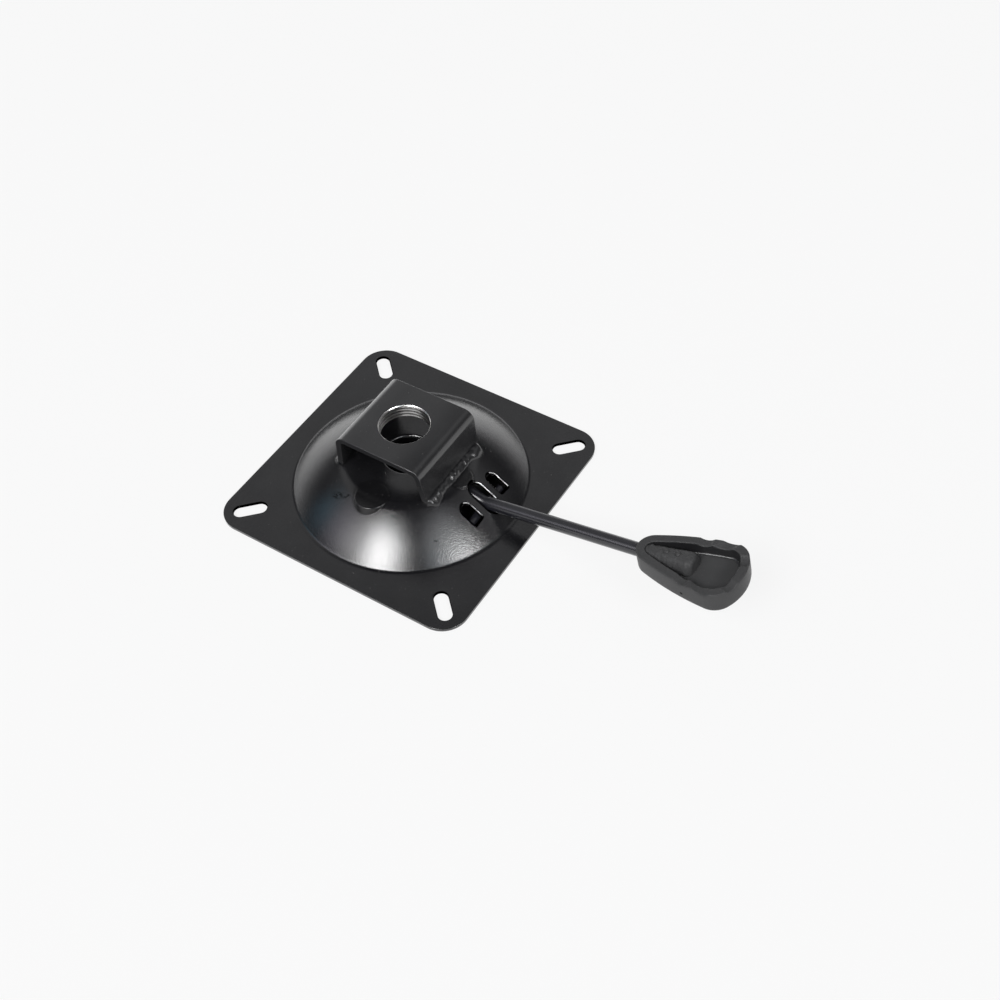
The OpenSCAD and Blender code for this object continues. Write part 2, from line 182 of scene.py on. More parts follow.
def sheet(mesh, loops, points, place, normal):
    """A pressed sheet: both skins and every cut edge. A loop is (points, outward normals, edge profile)."""
    ids = {}
    for side in (0, 1):
        rims = []
        for loop, out, profile in loops:
            rims.append(loop - out * profile[0 if side == 0 else -1][0])
        flat, tri, rim_ids = triangulate(rims, points)
        own = mesh.add(place(flat, np.full(len(flat), float(side))), normal(flat, side))
        for f in tri:
            mesh.faces.append(tuple(own[f] if side == 0 else own[f][::-1]))
        ids[side] = [own[r] for r in rim_ids]
    for k, (loop, out, profile) in enumerate(loops):
        last = ids[0][k]
        for inset, share, o, u in profile[1:-1]:
            p = loop - out * inset
            here = place(p, np.full(len(p), float(share)))
            side = place(p + out * 0.01, np.full(len(p), float(share))) - here
            n = unit(o * unit(side) + u * normal(p, 0))
            ring = mesh.add(here, n)
            mesh.strip(ring, last)
            last = ring
        mesh.strip(ids[1][k], last)


def arc(centre, radius, angles, facing=1.0):
    """Points of a rounding as (radius, height), each with its normal."""
    pairs = [(math.cos(a), math.sin(a)) for a in angles]
    return [((centre[0] + radius * c, centre[1] + radius * s), (facing * c, facing * s)) for c, s in pairs]


def turned(profile, segments=144):
    """Rings of a turned shape from (radius, height) pairs, each with its normal."""
    angle = np.linspace(0, 2 * math.pi, segments, endpoint=False)
    ring = np.stack([np.cos(angle), np.sin(angle)], 1)
    rings = []
    for (r, z), (nr, nz) in profile:
        p = np.column_stack([ring * r, np.full(segments, z)])
        n = np.column_stack([ring * nr, np.full(segments, nz)])
        rings.append((p, n))
    return rings


def circle(c, r, n, out=1.0):
    angle = np.linspace(0, 2 * math.pi, n, endpoint=False)
    ring = np.stack([np.cos(angle), np.sin(angle)], 1)
    return np.array(c) + r * ring, out * ring


def stadium(a, b, r, n=12, straight=6):
    """Closed outline of a slot between two points, with the normals that point into the slot."""
    a, b = np.array(a, float), np.array(b, float)
    d = unit(b - a)
    s = np.array([-d[1], d[0]])
    pts, nrm = [], []
    for c, other, sign in ((b, a, 1), (a, b, -1)):
        for t in np.linspace(-math.pi / 2, math.pi / 2, n + 1):
            u = sign * (math.cos(t) * d + math.sin(t) * s)
            pts.append(c + r * u)
            nrm.append(-u)
        side = sign * s
        for t in np.linspace(0, 1, straight + 1)[1:-1]:
            pts.append(c + r * side + t * (other - c))
            nrm.append(-side)
    return np.array(pts), np.array(nrm)


# Dome profile

SHOULDER_C = np.array([FLAT_R, DOME_H - SHOULDER])
FOOT_C = np.array([FOOT_R, SHEET + FOOT_BEND])
SPAN = SHOULDER_C - FOOT_C
# The flank is a wide arc between the shoulder and the foot, tangent to both
REACH = ((FLANK + FOOT_BEND) ** 2 - SPAN @ SPAN - (FLANK - SHOULDER) ** 2) / (2 * (SHOULDER - FLANK))
TILT_TOP = math.atan2(SPAN[0], SPAN[1]) + math.acos(REACH / np.linalg.norm(SPAN))
TOP_N = np.array([math.sin(TILT_TOP), math.cos(TILT_TOP)])
FLANK_MID = SHOULDER_C - (FLANK - SHOULDER) * TOP_N
LOW_N = (FOOT_C - FLANK_MID) / (FLANK + FOOT_BEND)


def dome(r, drop):
    """Height of the face that lies drop below the outer skin, at radius r."""
    r = np.asarray(r, float)
    rs, rw, rf = SHOULDER - drop, FLANK - drop, FOOT_BEND + drop
    z = np.full(r.shape, SHEET - drop)
    z = np.where(r < FOOT_R, FOOT_C[1] - np.sqrt(np.maximum(rf**2 - (r - FOOT_R) ** 2, 0)), z)
    wide = FLANK_MID[1] + np.sqrt(np.maximum(rw**2 - (r - FLANK_MID[0]) ** 2, 0))
    z = np.where(r < FLANK_MID[0] + rw * LOW_N[0], wide, z)
    tight = SHOULDER_C[1] + np.sqrt(np.maximum(rs**2 - (r - FLAT_R) ** 2, 0))
    z = np.where(r < FLAT_R + rs * TOP_N[0], tight, z)
    return np.where(r < FLAT_R, DOME_H - drop, z)


def pad_height(d, r, top):
    """A pressed pad: flat, then a rounded brink and a steep wall."""
    brink, wall = 0.8, math.radians(74)
    start = r - brink
    turn = start + brink * math.sin(wall)
    arc = top - brink + np.sqrt(np.maximum(brink**2 - np.maximum(d - start, 0) ** 2, 0))
    straight = top - brink * (1 - math.cos(wall)) - (d - turn) * math.tan(wall)
    return np.where(d < start, top, np.where(d < turn, arc, straight))


def plate_z(p, drop):
    z = dome(np.hypot(p[:, 0], p[:, 1]), drop)
    for x, y, r in PADS:
        d = np.hypot(p[:, 0] - x, p[:, 1] - y)
        pad = pad_height(d, r - drop, DOME_H - PAD_DROP - drop)
        near = d < r + 8
        z = np.where(near, smooth_max(pad, z, 0.5), z)
    return z


def plate_place(p, share):
    return np.column_stack([p, plate_z(p, 0.0) * (1 - share) + plate_z(p, SHEET) * share])


def plate_normal(p, side):
    drop, h = SHEET * side, 0.02
    dx = (plate_z(p + [h, 0], drop) - plate_z(p - [h, 0], drop)) / (2 * h)
    dy = (plate_z(p + [0, h], drop) - plate_z(p - [0, h], drop)) / (2 * h)
    n = unit(np.column_stack([-dx, -dy, np.ones(len(p))]))
    return n if side == 0 else -n


def rounded_square(side, r, n=14, straight=40):
    h = side / 2 - r
    pts, nrm = [], []
    for k, (sx, sy) in enumerate(((1, 1), (-1, 1), (-1, -1), (1, -1))):
        c = np.array([sx * h, sy * h])
        for t in np.linspace(0, math.pi / 2, n + 1):
            a = k * math.pi / 2 + t
            u = np.array([math.cos(a), math.sin(a)])
            pts.append(c + r * u)
            nrm.append(u)
        along = np.array([-math.sin(a), math.cos(a)])
        for t in np.linspace(0, 2 * h, straight + 1)[1:-1]:
            pts.append(c + r * u + along * t)
            nrm.append(u)
    return np.array(pts), np.array(nrm)


# The lever's slot, and the slots of the two hooks beside it
LAND, HOOK = 5.0, 7.0
ROD_SLOT = ROD_R + 0.75
LAND_END = ROD_SLOT + LAND
HOOK_IN = PIN_R + 0.1
HOOK_X = PIN_X + HOOK_IN + SHEET
ROD_SLOT_START, ROD_SLOT_END = PIN_X - 9.2, 59.0
ROD_SLOT_SHAPE = ((ROD_SLOT_START + ROD_SLOT, 0), (ROD_SLOT_END - ROD_SLOT, 0), ROD_SLOT)
HOOK_START = PIN_X - 6.5
BRINK = 0.75


def side_slot(sign):
    """Outline of a hook's slot: round at its inner end, straight at its outer end."""
    y, lead, half, r = sign * (LAND_END + HOOK / 2), HOOK_START + HOOK / 2, HOOK / 2, 0.5
    pts, nrm = [], []
    for t in np.linspace(math.pi / 2, 3 * math.pi / 2, 17):
        u = np.array([math.cos(t), math.sin(t)])
        pts.append(np.array([lead, y]) + half * u)
        nrm.append(-u)
    for s in (-1, 1):
        c = np.array([HOOK_X - r, y + s * (half - r)])
        for t in np.linspace(0, math.pi / 2, 5):
            a = -math.pi / 2 + t if s < 0 else t
            u = np.array([math.cos(a), math.sin(a)])
            pts.append(c + r * u)
            nrm.append(-u)
    return np.array(pts), np.array(nrm)


def base_plate(material):
    mesh = Mesh()
    edge = rounded_edge(0.3, SHEET)
    slot_edge = rounded_edge(0.35, SHEET)
    loops = [(*rounded_square(PLATE, CORNER), edge)]
    for k in range(4):
        a = math.radians(45 + 90 * k)
        d = np.array([math.cos(a), math.sin(a)])
        loops.append((*stadium((SLOT_MID - SLOT_HALF) * d, (SLOT_MID + SLOT_HALF) * d, SLOT_R), slot_edge))
    for opening in (stadium(*ROD_SLOT_SHAPE), side_slot(-1), side_slot(1)):
        loops.append((*opening, rounded_edge(BRINK, SHEET)))
    root = LIP / 2
    neck_in, neck_out = LIP, NECK_T + root
    # The collar hangs from the hole's lip, so its edge profile is only the two ends
    ring, out = circle((0, 0), NECK_R, 144, -1.0)
    loops.append((ring, out, [(neck_in, 0, 0, 1), (neck_out, 1, 0, -1)]))
    points = []
    spans = ((17, 33.5, 8), (34.6, 43.4, 14), (45, 64.2, 14), (65.2, 69.0, 13))
    radii = [np.linspace(*span) for span in spans] + [[71, 75, 80, 88, 97, 106]]
    for k, r in enumerate(np.concatenate(radii)):
        n = 192 if r < 72 else 96
        a = np.arange(n) * 2 * math.pi / n + (k % 2) * math.pi / n
        points.append(np.stack([r * np.cos(a), r * np.sin(a)], 1))
    points = np.concatenate(points)
    for x, y, r in PADS:
        points = points[np.hypot(points[:, 0] - x, points[:, 1] - y) > r + 2.4]
    for x, y, r in PADS:
        for d in list(np.linspace(0.6, r - 1.5, 6)) + list(np.linspace(r - 1.1, r + 2.1, 19)):
            a = np.arange(120) * 2 * math.pi / 120
            points = np.concatenate([points, np.stack([x + d * np.cos(a), y + d * np.sin(a)], 1)])
    sheet(mesh, loops, points, plate_place, plate_normal)
    rings = arc((NECK_R + LIP, DOME_H - LIP), LIP, np.linspace(math.pi / 2, math.pi, 8))
    low = DOME_H - NECK_H
    wall = NECK_R + NECK_T
    rings += [((NECK_R, low + 0.2), (-1, 0)), ((NECK_R + 0.06, low + 0.06), (-0.7, -0.7))]
    rings += [((NECK_R + 0.2, low), (0, -1)), ((wall - 0.2, low), (0, -1))]
    rings += [((wall - 0.06, low + 0.06), (0.7, -0.7)), ((wall, low + 0.2), (1, 0))]
    rings += arc((wall + root, DOME_H - SHEET - root), root, np.linspace(math.pi, math.pi / 2, 6), -1.0)
    mesh.rings(turned(rings))
    for s in (-1, 1):
        hook(mesh, s * (LAND_END + HOOK / 2))
    return make("plate_skin", mesh.points, mesh.faces, mesh.normals, material, "seat_plate")


def worn_brinks(material):
    """Bright rubbed lines along the slots' brinks, on the sides that face the open end of the bracket."""
    mesh = Mesh()
    facing, last_x, proud = -0.35, PIN_X + 4.2, 0.025
    for pts, nrm in (stadium(*ROD_SLOT_SHAPE, 12, 40), side_slot(-1), side_slot(1)):
        n = len(pts)
        rows = []
        for turn in (20, 34, 48, 62):
            a = math.radians(turn)
            p = pts - nrm * BRINK * (1 - math.sin(a))
            here = plate_place(p, np.full(n, BRINK * (1 - math.cos(a)) / SHEET))
            side = unit(plate_place(p + nrm * 0.01, np.full(n, 0.0)) - plate_place(p, np.full(n, 0.0)))
            out = unit(math.sin(a) * side + math.cos(a) * plate_normal(p, 0))
            rows.append(mesh.add(here + proud * out, out))
        for i in range(n):
            j = (i + 1) % n
            if nrm[i][1] < facing and nrm[j][1] < facing and pts[i][0] < last_x:
                for a, b in zip(rows, rows[1:]):
                    mesh.faces.append((a[i], a[j], b[j], b[i]))
    return make("slot_wear", mesh.points, mesh.faces, mesh.normals, material, "seat_plate")


def hook(mesh, y):
    """A tongue that is bent down from the slot's outer end and round the pin."""
    root_z = float(dome(np.hypot(HOOK_X, LAND_END + HOOK), SHEET)) + 1.0
    line = [((HOOK_X - SHEET / 2 + 0.3, root_z), (1, 0)), ((HOOK_X - SHEET / 2, root_z - 1), (1, 0))]
    r = HOOK_IN + SHEET / 2
    for a in np.linspace(0, math.radians(-148), 22):
        line.append(((PIN_X + r * math.cos(a), PIN_Z + r * math.sin(a)), (math.cos(a), math.sin(a))))
    half, b = HOOK / 2 - 0.05, 0.3
    section = []
    for cx, cy, start in ((1, 1, 0), (-1, 1, 90), (-1, -1, 180), (1, -1, 270)):
        for t in np.linspace(0, 90, 4):
            a = math.radians(start + t)
            u = (math.cos(a), math.sin(a))
            section.append((cx * (SHEET / 2 - b) + b * u[0], cy * (half - b) + b * u[1], u))
    rings = []
    for (x, z), (ox, oz) in line:
        p = [(x + ox * q, y + v, z + oz * q) for q, v, _ in section]
        n = [(ox * u[0], u[1], oz * u[0]) for _, _, u in section]
        rings.append((p, n))
    ids = mesh.rings([(np.array(p), np.array(n)) for p, n in rings])
    mesh.faces.append(tuple(ids[-1][::-1]))


# Seat bracket

OUT = np.array([math.cos(LEAN), math.sin(LEAN)])
BEND_C = np.array([LEG_HALF - (BEND + (BRACKET_H - BEND - DOME_H) * OUT[1]) / OUT[0], BRACKET_H - BEND])
SWEEP = math.pi / 2 - LEAN
U_BEND = BEND_C[0]
U_LEG = U_BEND + BEND * SWEEP
LEG_LEN = (BEND_C[1] + BEND * OUT[1] - DOME_H) / OUT[0]
U_END = U_LEG + LEG_LEN


def bracket_place(p, share):
    u, y, d = np.abs(p[:, 0]), p[:, 1], share * BRACKET_T
    a = np.clip((u - U_BEND) / BEND, 0, SWEEP)
    x = np.minimum(u, U_BEND) + (BEND - d) * np.sin(a)
    z = BEND_C[1] + (BEND - d) * np.cos(a)
    down = np.maximum(u - U_LEG, 0)
    x = x + down * OUT[1]
    z = z - down * OUT[0]
    return np.column_stack([np.sign(p[:, 0]) * x, y, z])


def bracket_normal(p, side):
    a = np.clip((np.abs(p[:, 0]) - U_BEND) / BEND, 0, SWEEP)
    crown = np.clip((np.abs(p[:, 0]) - U_BEND + 16) / 16, 0, 1) ** 1.1 * math.radians(12)
    a = a + crown * (1 - a / SWEEP)
    n = np.column_stack([np.sign(p[:, 0]) * np.sin(a), np.zeros(len(p)), np.cos(a)])
    return n if side == 0 else -n


def bracket_half_width(u):
    z = bracket_place(np.column_stack([u, u * 0]), np.zeros(len(u)))[:, 2]
    return BRACKET_L / 2 - TAPER * np.clip((BEND_C[1] - z) / (BEND_C[1] - DOME_H), 0, 1)


def seat_bracket(material):
    mesh = Mesh()
    us = np.concatenate([
        np.linspace(-U_END, -U_LEG, 12)[:-1], np.linspace(-U_LEG, -U_BEND, 14)[:-1],
        np.linspace(-U_BEND, U_BEND, 22)[:-1], np.linspace(U_BEND, U_LEG, 14)[:-1],
        np.linspace(U_LEG, U_END, 12)])
    half = bracket_half_width(us)
    vs = np.linspace(-1, 1, 26)[1:-1]
    pts = [(u, h) for u, h in zip(us[::-1], half[::-1])]
    nrm = [(0, 1)] * len(us)
    pts += [(-U_END, -v * half[0]) for v in vs]
    nrm += [(-1, 0)] * len(vs)
    pts += [(u, -h) for u, h in zip(us, half)]
    nrm += [(0, -1)] * len(us)
    pts += [(U_END, v * half[0]) for v in vs]
    nrm += [(1, 0)] * len(vs)
    nrm = np.array(nrm, float)
    long, both = len(us), len(us) + len(vs)
    for i, n in ((0, (1, 1)), (long - 1, (-1, 1)), (both, (-1, -1)), (long + both - 1, (1, -1))):
        nrm[i] = n
    loops = [(np.array(pts), nrm, rounded_edge(0.45, BRACKET_T))]
    root = BORE_T / 2
    mouth = CHAMFER + 0.25
    outer = BORE_T + root
    ring, out = circle((0, 0), BORE_R, 144, -1.0)
    loops.append((ring, out, [(mouth, 0, 0, 1), (outer, 1, 0, -1)]))
    grid = [(u, v * bracket_half_width(np.array([u]))[0]) for u in us[1:-1] for v in vs]
    grid = np.array(grid)
    far = grid[np.hypot(grid[:, 0], grid[:, 1]) > 21.5]
    turns = np.arange(96) * 2 * math.pi / 96
    close = [(r * math.cos(a), r * math.sin(a)) for r in (15.6, 16.4, 18.0, 20.0) for a in turns]
    sheet(mesh, loops, np.concatenate([far, close]), bracket_place, bracket_normal)
    under = BRACKET_H - BRACKET_T
    wall, low = BORE_R + BORE_T, BRACKET_H - BORE_L
    rings = arc((wall + root, under - root), root, np.linspace(math.pi / 2, math.pi, 6), -1.0)
    rings += [((wall, low + 0.3), (1, 0)), ((wall - 0.09, low + 0.09), (0.7, -0.7))]
    rings += [((wall - 0.3, low), (0, -1)), ((BORE_R + 0.35, low), (0, -1))]
    mesh.rings(turned(rings)[::-1])
    # Painted brink of the bore's mouth
    brink = arc((BORE_R + mouth, BRACKET_H - 0.25), 0.25, np.linspace(math.pi / 2, math.pi * 0.8, 5))
    mesh.rings(turned(brink))
    return make("bracket_skin", mesh.points, mesh.faces, mesh.normals, material, "seat_plate")


def bore_wall(material):
    """The bright bored wall with its chamfered mouth and fine turning steps."""
    mesh = Mesh()
    low = BRACKET_H - BORE_L
    top = BRACKET_H - CHAMFER
    r0 = BORE_R + CHAMFER + 0.06
    rings = [((r0, BRACKET_H - 0.1), (-0.7, 0.7)), ((BORE_R + 0.08, top - 0.02), (-0.7, 0.7))]
    rings += [((BORE_R + 0.02, top - 0.1), (-0.95, 0.3))]
    steps = 44
    for i in range(steps + 1):
        z = top - 0.2 - (top - 0.5 - low) * i / steps
        r = BORE_R + 0.03 * math.sin(i * 1.3) * math.sin(i * 0.37)
        rings.append(((r, z), (-1, 0.16 + 0.15 * math.sin(i * 0.52) + 0.1 * math.sin(i * 1.7))))
    rings += [((BORE_R + 0.02, low + 0.2), (-1, 0)), ((BORE_R + 0.35, low), (-0.6, -0.8))]
    mesh.rings(turned([(p, unit(n)) for p, n in rings], 192))
    return make("bore_wall", mesh.points, mesh.faces, mesh.normals, material, "seat_plate")


# Weld beads

def hump(t, middle, width):
    return math.exp(-((t - middle) / width) ** 2)


def weld(name, sign, lump, material, seed):
    """A lumpy bead along a leg's foot, swept with ripples and a swollen far end."""
    mesh = Mesh()
    stations, around = 260, 20
    end = BRACKET_L / 2 - TAPER
    rings = []
    for i in range(stations + 1):
        t = i / stations
        y = end * (2 * t - 1)
        swell = 0.55 * lump * hump(t, 0.9, 0.1) + 0.25 * lump * hump(t, 0.1, 0.09)
        wander = 3 * noise.noise((t * 6, seed, 0))
        ripple = 0.03 * math.sin(t * 75 + wander) + 0.2 * noise.noise((t * 6, seed, 3))
        size = 3.5 * (1 + swell + ripple)
        tail = min(1, t / 0.05, (1 - t) / 0.05)
        size *= 0.3 + 0.7 * math.sin(math.pi / 2 * tail)
        rise = size * (0.9 - 0.35 * lump * max(hump(t, 0.9, 0.1), hump(t, 0.08, 0.1)))
        ring = []
        for k in range(around + 1):
            a = math.pi / 2 * k / around
            c, s = max(math.cos(a), 0) ** 1.25, max(math.sin(a), 0) ** 1.25
            x = LEG_HALF + 0.02 - math.sin(LEAN) * rise * c + size * s
            skin = float(dome(math.hypot(x, y), 0.0))
            z = DOME_H + math.cos(LEAN) * rise * c - (DOME_H - skin) * (k / around)
            bump = 0.4 * noise.noise((t * 9, k * 0.1, seed)) + 0.07 * noise.noise((t * 40, k * 0.2, seed + 5))
            grow = bump * math.sin(2 * a)
            x += grow * math.sin(a)
            z += grow * math.cos(a) - 0.06 * (k == around)
            ring.append((sign * x, y, z))
        toe = LEG_HALF + size + 0.7
        ring.append((sign * toe, y, float(dome(math.hypot(toe, y), 0.0)) - 0.5))
        ring.append((sign * (LEG_HALF - 0.4), y, float(dome(math.hypot(LEG_HALF, y), 0.0)) - 1.0))
        ring.append((sign * (LEG_HALF - 0.3), y, DOME_H + 0.1))
        rings.append(ring)
    rings = np.array(rings)
    ids = [mesh.add(r, np.zeros((len(r), 3))) for r in rings]
    for a, b in zip(ids, ids[1:]):
        if sign > 0:
            a, b = b, a
        mesh.strip(a, b)
    ends = (tuple(ids[0]), tuple(ids[-1][::-1]))
    mesh.faces.extend(e[::-1] if sign < 0 else e for e in ends)
    obj = make(name, mesh.points, mesh.faces, None, material, "seat_plate")
    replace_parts(obj, name.replace("_bead", ""))
    return obj


# Lever rod

LEVER_TURN = OUTER + INNER
BEND_LIFT = ROD_BEND * (1 / math.cos(LEVER_TURN / 2) - 1)
BEND_P = np.array([PIN_X - ROD_R / 3, PIN_Z + ROD_R + PIN_R - PIN_SEAT - BEND_LIFT])
ARM_Z = DOME_H - NECK_H - 0.3 - ROD_R
KNEE = np.array([BEND_P[0] - (ARM_Z - BEND_P[1]) / math.tan(INNER), ARM_Z])
ROD_DEPTH = PADDLE_L * 0.42
OUT_DIR = np.array([math.cos(OUTER), math.sin(OUTER)])
IN_DIR = np.array([math.cos(INNER), -math.sin(INNER)])


def rod_path():
    """Centre line as (x, z) with the tangent of each station."""
    knee_t, bend_t = ROD_BEND * math.tan(INNER / 2), ROD_BEND * math.tan(LEVER_TURN / 2)
    tip_x = 11.2 * np.linspace(0, 1, 26) ** 1.6 - TIP_REACH
    knee_start = KNEE - [knee_t, 0]
    level_x = np.concatenate([tip_x, np.linspace(tip_x[-1] + 1.5, knee_start[0], 5)])
    path = [(np.array([x, ARM_Z]), np.array([1.0, 0])) for x in level_x]
    c = knee_start - [0, ROD_BEND]
    for a in np.linspace(0, INNER, 8)[1:]:
        sine, cosine = math.sin(a), math.cos(a)
        path.append((c + ROD_BEND * np.array([sine, cosine]), np.array([cosine, -sine])))
    start = BEND_P - bend_t * IN_DIR
    a = path[-1][0]
    path += [(a + (start - a) * t, IN_DIR) for t in (0.33, 0.66, 1)]
    c = start + ROD_BEND * np.array([math.sin(INNER), math.cos(INNER)])
    for a in np.linspace(-INNER, OUTER, 13)[1:]:
        sine, cosine = math.sin(a), math.cos(a)
        path.append((c + ROD_BEND * np.array([sine, -cosine]), np.array([cosine, sine])))
    a, end = path[-1][0], BEND_P + (OUTER_ARM + ROD_DEPTH) * OUT_DIR
    path += [(a + (end - a) * t, OUT_DIR) for t in np.linspace(0, 1, 40)[1:]]
    return path


def lever_rod(material):
    mesh = Mesh()
    around = 48
    tip_c = TIP_W / 2 - TIP_REACH
    rings = []
    for p, d in rod_path():
        x = p[0]
        reach = min(1.0, max(0.0, (x - tip_c - 1) / (TIP_W - 1)))
        blend = reach * reach * (3 - 2 * reach)
        wide = TIP_W / 2 + (ROD_R - TIP_W / 2) * blend
        thick = TIP_T / 2 + (ROD_R - TIP_T / 2) * blend
        power = 2 + 2.2 * (1 - blend)
        if x < tip_c:
            wide = math.sqrt(max((TIP_W / 2) ** 2 - (x - tip_c) ** 2, 0.0))
            edge = min(1.0, wide / 2.4)
            thick *= math.sqrt(max(1 - (1 - edge) ** 2, 0.0025))
            wide = max(wide, 0.02)
        up = np.array([-d[1], d[0]])
        ring = []
        for k in range(around):
            a = 2 * math.pi * k / around
            c, s = math.cos(a), math.sin(a)
            y = wide * math.copysign(abs(c) ** (2 / power), c)
            h = thick * math.copysign(abs(s) ** (2 / power), s)
            ring.append((p[0] + up[0] * h, y, p[1] + up[1] * h))
        rings.append(np.array(ring))
    ids = [mesh.add(r, np.zeros((around, 3))) for r in rings]
    for a, b in zip(ids, ids[1:]):
        mesh.strip(b, a)
    mesh.faces.append(tuple(ids[0]))
    mesh.faces.append(tuple(ids[-1][::-1]))
    obj = make("rod_skin", mesh.points, mesh.faces, None, material, "release_lever")
    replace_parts(obj, "lever_rod")
    return obj


# Paddle

NOSE_C = np.array([NOSE_R + SHEET, 0.0])
WING_C = np.array([PADDLE_L - WING_R - SHEET, WING_Y])
END_REACH = PADDLE_L - WING_R
END_C = np.array([(END_REACH**2 - WING_C[0] ** 2 - WING_Y**2) / (2 * (END_REACH - WING_C[0])), 0.0])
END_R = PADDLE_L - END_C[0]


def meet(a, ra, b, rb):
    d = np.linalg.norm(b - a)
    e = (b - a) / d
    along = (d * d + ra * ra - rb * rb) / (2 * d)
    return a + along * e + math.sqrt(ra * ra - along * along) * np.array([e[1], -e[0]])


FLANK_C = meet(NOSE_C, FLANK_R - NOSE_R, WING_C, FLANK_R - WING_R)
FAN = np.array([35.4, 0.0])
FLUTES = [math.radians(s * a) for s in (-1, 1) for a in (21.5, 57.6, 95)]


def angle_of(v):
    return math.atan2(v[1], v[0])


def outline():
    """Stations of the paddle's outline as centre, radius and direction, so that it can be drawn in."""
    end_a, wing_a, nose_a = angle_of(WING_C - END_C), angle_of(WING_C - FLANK_C), angle_of(NOSE_C - FLANK_C)
    half = []
    for c, r, a0, a1, n in ((END_C, END_R, 0, end_a, 26), (WING_C, WING_R, end_a, wing_a, 44),
                            (FLANK_C, FLANK_R, wing_a, nose_a, 60), (NOSE_C, NOSE_R, nose_a, math.pi, 30)):
        for i in range(n):
            a = a0 + (a1 - a0) * i / n
            half.append((c, r, np.array([math.cos(a), math.sin(a)])))
    half.append((NOSE_C, NOSE_R, np.array([-1.0, 0.0])))
    flip = np.array([1.0, -1.0])
    return half + [(c * flip, r, d * flip) for c, r, d in reversed(half[1:-1])]


OUTLINE = outline()
O_C = np.array([c for c, _, _ in OUTLINE])
O_R = np.array([r for _, r, _ in OUTLINE])
O_D = np.array([d for _, _, d in OUTLINE])


def drawn_in(inset):
    return O_C + (O_R - inset)[:, None] * O_D


def rim_z(p):
    """Height of the rim: level, and let down where a flute crosses it."""
    z = np.full(len(p), RIM_UP)
    for a in FLUTES:
        d = np.array([math.cos(a), math.sin(a)])
        rel = p - FAN
        side = np.abs(rel[:, 0] * d[1] - rel[:, 1] * d[0])
        ahead = rel @ d
        dip = RIM_UP + FLUTE_R - FLUTE_D - np.sqrt(np.maximum(FLUTE_R**2 - np.minimum(side, FLUTE_R) ** 2, 0))
        dip = np.where(ahead > 0, dip, RIM_UP + 5)
        z = -smooth_max(-z, -dip, 0.25)
    return z


def paddle_to_world(p):
    p = np.asarray(p, float)
    o = BEND_P + OUTER_ARM * OUT_DIR
    x = o[0] + p[:, 0] * OUT_DIR[0] - p[:, 2] * OUT_DIR[1]
    z = o[1] + p[:, 0] * OUT_DIR[1] + p[:, 2] * OUT_DIR[0]
    return np.column_stack([x, p[:, 1], z])


def paddle(material, inner_material):
    mesh = Mesh()
    n = len(OUTLINE)
    rings = []
    low = -RIM_DOWN
    for a in np.linspace(0, math.pi / 2, 8):
        inset = 2.5 * (1 - math.sin(a))
        z = low + 2.5 * (1 - math.cos(a))
        rings.append(np.column_stack([drawn_in(inset), np.full(n, z)]))
    top = rim_z(drawn_in(0.4))
    for share in (0.25, 0.5, 0.75):
        z = low + 2.5 + (top - 0.7 - low - 2.5) * share
        rings.append(np.column_stack([drawn_in(0.0), z]))
    for a in np.linspace(0, math.pi / 2, 6):
        inset = 0.7 * (1 - math.cos(a))
        p = drawn_in(inset)
        rings.append(np.column_stack([p, rim_z(p) - 0.7 + 0.7 * math.sin(a)]))
    for inset in (1.4, 2.2, 3.0, 3.7):
        p = drawn_in(inset)
        rings.append(np.column_stack([p, rim_z(p)]))
    for a in np.linspace(0, math.pi / 2, 6):
        inset = RIM_W - 0.6 * (1 - math.sin(a))
        p = drawn_in(inset)
        rings.append(np.column_stack([p, rim_z(p) - 0.6 * (1 - math.cos(a))]))
    inner = len(rings)
    foot, draft = 1.3, 0.25
    p = drawn_in(RIM_W)
    start = rim_z(p) - 0.6
    for share in (0.25, 0.5, 0.75, 1.0):
        z = start + (-FLOOR + foot - start) * share
        rings.append(np.column_stack([drawn_in(RIM_W + draft * share), z]))
    for a in np.linspace(0, math.pi / 2, 7)[1:]:
        inset = RIM_W + draft + foot * (1 - math.cos(a)) * 0.999
        rings.append(np.column_stack([drawn_in(inset), np.full(n, -FLOOR + foot * (1 - math.sin(a)))]))
    ids = [mesh.add(paddle_to_world(r), np.zeros((n, 3))) for r in rings]
    for a, b in zip(ids, ids[1:]):
        mesh.strip(a, b)
    # The inner wall of the rim takes the second material: glossier, and darker as painted shade in the recess
    glossy_shaded_wall = range((inner - 1) * n, (len(rings) - 1) * n)
    mesh.faces.append(tuple(ids[0][::-1]))
    mesh.faces.append(tuple(ids[-1]))
    boss(mesh)
    both = [material, inner_material]
    obj = make("paddle_skin", mesh.points, mesh.faces, None, both, "release_lever")
    for i in glossy_shaded_wall:
        obj.data.polygons[i].material_index = 1
    obj.data.set_sharp_from_angle(angle=math.radians(50))
    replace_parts(obj, "paddle")
    return obj


